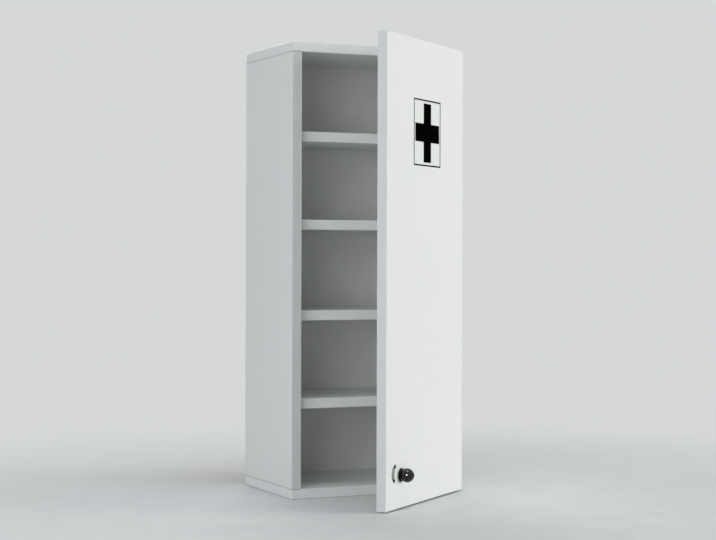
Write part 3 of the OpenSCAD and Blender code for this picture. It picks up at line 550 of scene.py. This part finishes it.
# The sign: a plain cross in a thin, nearly square outline. Places on the door are across from its free
# edge and up from the cabinet's foot, in millimetres.
sign_at = (151.7, 586.3)
cross_size = 93.6
cross_arm = 29
outline_size = (101.8, 103.3)
outline_t = 2.3


def rectangle(centre, width, height):
    """The corners of a rectangle, in order round it."""
    half_w, half_h = width / 2, height / 2
    corners = ((-1, -1), (1, -1), (1, 1), (-1, 1))
    return [(centre[0] + x * half_w, centre[1] + y * half_h) for x, y in corners]


arm_l = (cross_size - cross_arm) / 2
arm_at = (cross_arm + arm_l) / 2
cross_cells = [rectangle(sign_at, cross_arm, cross_arm)]
for side in (-1, 1):
    cross_cells.append(rectangle((sign_at[0] + side * arm_at, sign_at[1]), arm_l, cross_arm))
    cross_cells.append(rectangle((sign_at[0], sign_at[1] + side * arm_at), cross_arm, arm_l))
film("sign_cross", cross_cells, BLACK_FILM)

outer = rectangle(sign_at, outline_size[0] + outline_t, outline_size[1] + outline_t)
inner = rectangle(sign_at, outline_size[0] - outline_t, outline_size[1] - outline_t)
outline_cells = [[outer[k - 1], outer[k], inner[k], inner[k - 1]] for k in range(4)]
film("sign_outline", outline_cells, BLACK_FILM)

# The position mark beside the knob: a band along an arc in two colours, thickest at its middle,
# with a dark block at each end. Its angles are in degrees.
mark_at = (39.8, 55.5)
mark_r = 14
mark_top, mark_change, mark_bottom = 106, 177, 235
block_turn = 28
block_t = 6
band_end_t, band_middle_t = 5.5, 10.5


def swelling(angle):
    """The band's thickness at an angle."""
    share = (angle - mark_top) / (mark_bottom - mark_top)
    return band_end_t + (band_middle_t - band_end_t) * math.sin(math.pi * share)


def band(first, last, thickness):
    """Cells of the mark between two angles, as thick as the function says at each angle."""
    steps = 12
    pairs = []
    for k in range(steps + 1):
        angle = first + (last - first) * k / steps
        across, up = math.cos(math.radians(angle)), math.sin(math.radians(angle))
        pairs.append([
            (mark_at[0] + r * across, mark_at[1] + r * up)
            for r in (mark_r + thickness(angle) / 2, mark_r - thickness(angle) / 2)
        ])
    return [[pairs[k][0], pairs[k + 1][0], pairs[k + 1][1], pairs[k][1]] for k in range(steps)]


film("position_mark_upper", band(mark_top + block_turn, mark_change, swelling),
     printed_film("screen_printed_blue_grey", "#959A9F", "#9B9FA4"))
film("position_mark_lower", band(mark_change, mark_bottom - block_turn, swelling),
     printed_film("screen_printed_olive_grey", "#848577", "#8A8B7D"))
end_cells = (
    band(mark_top, mark_top + block_turn, lambda angle: block_t)
    + band(mark_bottom - block_turn, mark_bottom, lambda angle: block_t)
)
film("position_mark_ends", end_cells, printed_film("screen_printed_dark_grey", "#0C0E0E", "#131616"))

# ---- Floor, world, lamps and camera ----

BACKDROP = "#D6D8D8"
AMBIENT = "#F4F8FC"
AMBIENT_LEVEL = 0.073
FLOOR_CENTRE = (0.05, -0.2, 0)
FLOOR_HALF = 12
FLOOR_GAP = 0.5 * MM

# The floor is plain paint this near its centre and has faded to the backdrop that far from it, in metres.
FADE_START, FADE_END = 0.35, 1.3


def pale_floor():
    """Emulsion paint, rolled: matt and pale with a faint mottle. It fades to the backdrop away from
    the cabinet, and keeps the shadow near it."""
    material, tree, shader, place = start("rolled_pale_paint")
    mottle = add(tree, "TexNoise", {"Vector": place["Object"], "Scale": per_mm(60), "Detail": 4})
    paint = add(tree, "ValToRGB", {"Fac": mottle.outputs["Fac"]},
                stops=[(0.3, "#DDDFDF"), (0.7, "#E2E4E4")])
    tree.links.new(paint.outputs[0], shader.inputs["Base Color"])
    shader.inputs["Roughness"].default_value = 0.9
    shader.inputs["Specular IOR Level"].default_value = 0.2
    away = add(tree, "VectorMath", {0: place["Object"], 1: FLOOR_CENTRE}, operation="DISTANCE")
    fade = add(tree, "MapRange",
               {"Value": away.outputs["Value"], "From Min": FADE_START, "From Max": FADE_END},
               interpolation_type="SMOOTHSTEP")
    rays = add(tree, "LightPath")
    seen = add(tree, "Math", {0: rays.outputs["Is Camera Ray"], 1: rays.outputs["Is Glossy Ray"]},
               operation="MAXIMUM")
    share = add(tree, "Math", {0: fade.outputs["Result"], 1: seen.outputs[0]}, operation="MULTIPLY")
    glow = add(tree, "Emission", {"Color": colour(BACKDROP), "Strength": 1})
    mixed = add(tree, "MixShader", {0: share.outputs[0], 1: shader.outputs[0], 2: glow.outputs[0]})
    tree.links.new(mixed.outputs[0], tree.nodes["Material Output"].inputs["Surface"])
    return material


floor_mesh = bmesh.new()
bmesh.ops.create_grid(floor_mesh, x_segments=8, y_segments=8, size=FLOOR_HALF)
floor_data = bpy.data.meshes.new("floor")
floor_mesh.to_mesh(floor_data)
floor_mesh.free()
floor = bpy.data.objects.new("floor", floor_data)
bpy.context.scene.collection.objects.link(floor)
floor.location.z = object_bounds()[0][2] - FLOOR_GAP
dress(floor, pale_floor())

world = bpy.data.worlds.new("studio")
bpy.context.scene.world = world
world.use_nodes = True
sky = world.node_tree
sky.nodes.clear()
rays = add(sky, "LightPath").outputs
glossy = add(sky, "Math", {0: rays["Is Camera Ray"], 1: rays["Is Glossy Ray"]}, operation="MAXIMUM")
plain = add(sky, "Math", {0: glossy.outputs[0], 1: rays["Is Transmission Ray"]}, operation="MAXIMUM")
ambient = add(sky, "Background", {"Color": colour(AMBIENT), "Strength": AMBIENT_LEVEL})
backdrop = add(sky, "Background", {"Color": colour(BACKDROP), "Strength": 1})
shown = add(sky, "MixShader", {0: plain.outputs[0], 1: ambient.outputs[0], 2: backdrop.outputs[0]})
add(sky, "OutputWorld", {"Surface": shown.outputs[0]})

# Soft boxes: azimuth to the right of the front and elevation in degrees, distance, width and height in
# metres, power in watts, colour, and whether the lamp lights matt or glossy surfaces only, or both.
LAMPS = {
    "left_box": (-48, 3, 2.6, 1.6, 2.0, 31, "#F9FBFF", "matt"),
    "far_left_box": (-110, 8, 4.0, 2.0, 2.4, 20, "#F8FCFF", "matt"),
    "right_box": (60, 5, 5.5, 2.0, 2.0, 199, "#FFFFFB", "matt"),
    "top_box": (0, 80, 4.0, 2.4, 2.4, 72, "#FBFDFF", "both"),
    "back_box": (168, 30, 3.2, 1.6, 1.6, 30, "#FFFFFF", "both"),
    "glint": (-31, 8, 2.9, 0.6, 0.6, 95, "#FFFFFF", "glossy"),
}
# What the lamps look at: the cabinet's middle.
AIM = Vector((0, -0.15, -0.32))


def toward_place(azimuth, elevation):
    """The direction to a place at that azimuth, to the right of the front, and at that elevation."""
    turn, rise = math.radians(azimuth), math.radians(elevation)
    return Vector((math.sin(turn) * math.cos(rise), -math.cos(turn) * math.cos(rise), math.sin(rise)))


def soft_box(name, azimuth, elevation, distance, width, height, power, code, lights):
    """A rectangular lamp, turned to the cabinet."""
    lamp = bpy.data.lights.new(name, "AREA")
    lamp.shape = "RECTANGLE"
    lamp.size, lamp.size_y = width, height
    lamp.energy = power
    lamp.color = colour(code)[:3]
    box = bpy.data.objects.new(name, lamp)
    bpy.context.scene.collection.objects.link(box)
    toward = toward_place(azimuth, elevation)
    box.location = AIM + toward * distance
    box.rotation_euler = toward.to_track_quat("Z", "Y").to_euler()
    box.visible_glossy = lights != "matt"
    box.visible_diffuse = lights != "glossy"
    return box


boxes = {name: soft_box(name, *settings) for name, settings in LAMPS.items()}

# The glint lamp lights the knob alone, as a spot with a snoot does.
lit_by_glint = bpy.data.collections.new("lit_by_glint")
lit_by_glint.objects.link(knob)
boxes["glint"].light_linking.receiver_collection = lit_by_glint

# The camera of the photograph: nearly level, 3 m away, and turned 25 degrees from straight ahead. Angles
# are in degrees and places in metres.
CAMERA_AT = (-1.2379, -2.7732, -0.3002)
CAMERA_YAW = 25.105
CAMERA_ROLL = 0.176

camera_data = bpy.data.cameras.new("camera")
camera_data.sensor_width = 36
camera_data.lens = 87.5
camera_data.shift_y = -0.018
camera = bpy.data.objects.new("camera", camera_data)
bpy.context.scene.collection.objects.link(camera)
yaw, roll = math.radians(CAMERA_YAW), math.radians(CAMERA_ROLL)
ahead = Vector((math.sin(yaw), math.cos(yaw), 0))
level = Vector((math.cos(yaw), -math.sin(yaw), 0))
camera_x = level * math.cos(roll) + UP * math.sin(roll)
camera_y = UP * math.cos(roll) - level * math.sin(roll)
turn = Matrix((camera_x, camera_y, -ahead)).transposed().to_4x4()
camera.matrix_world = Matrix.Translation(CAMERA_AT) @ turn
bpy.context.scene.camera = camera
bpy.context.scene.view_settings.view_transform = "Standard"

bpy.context.view_layer.update()
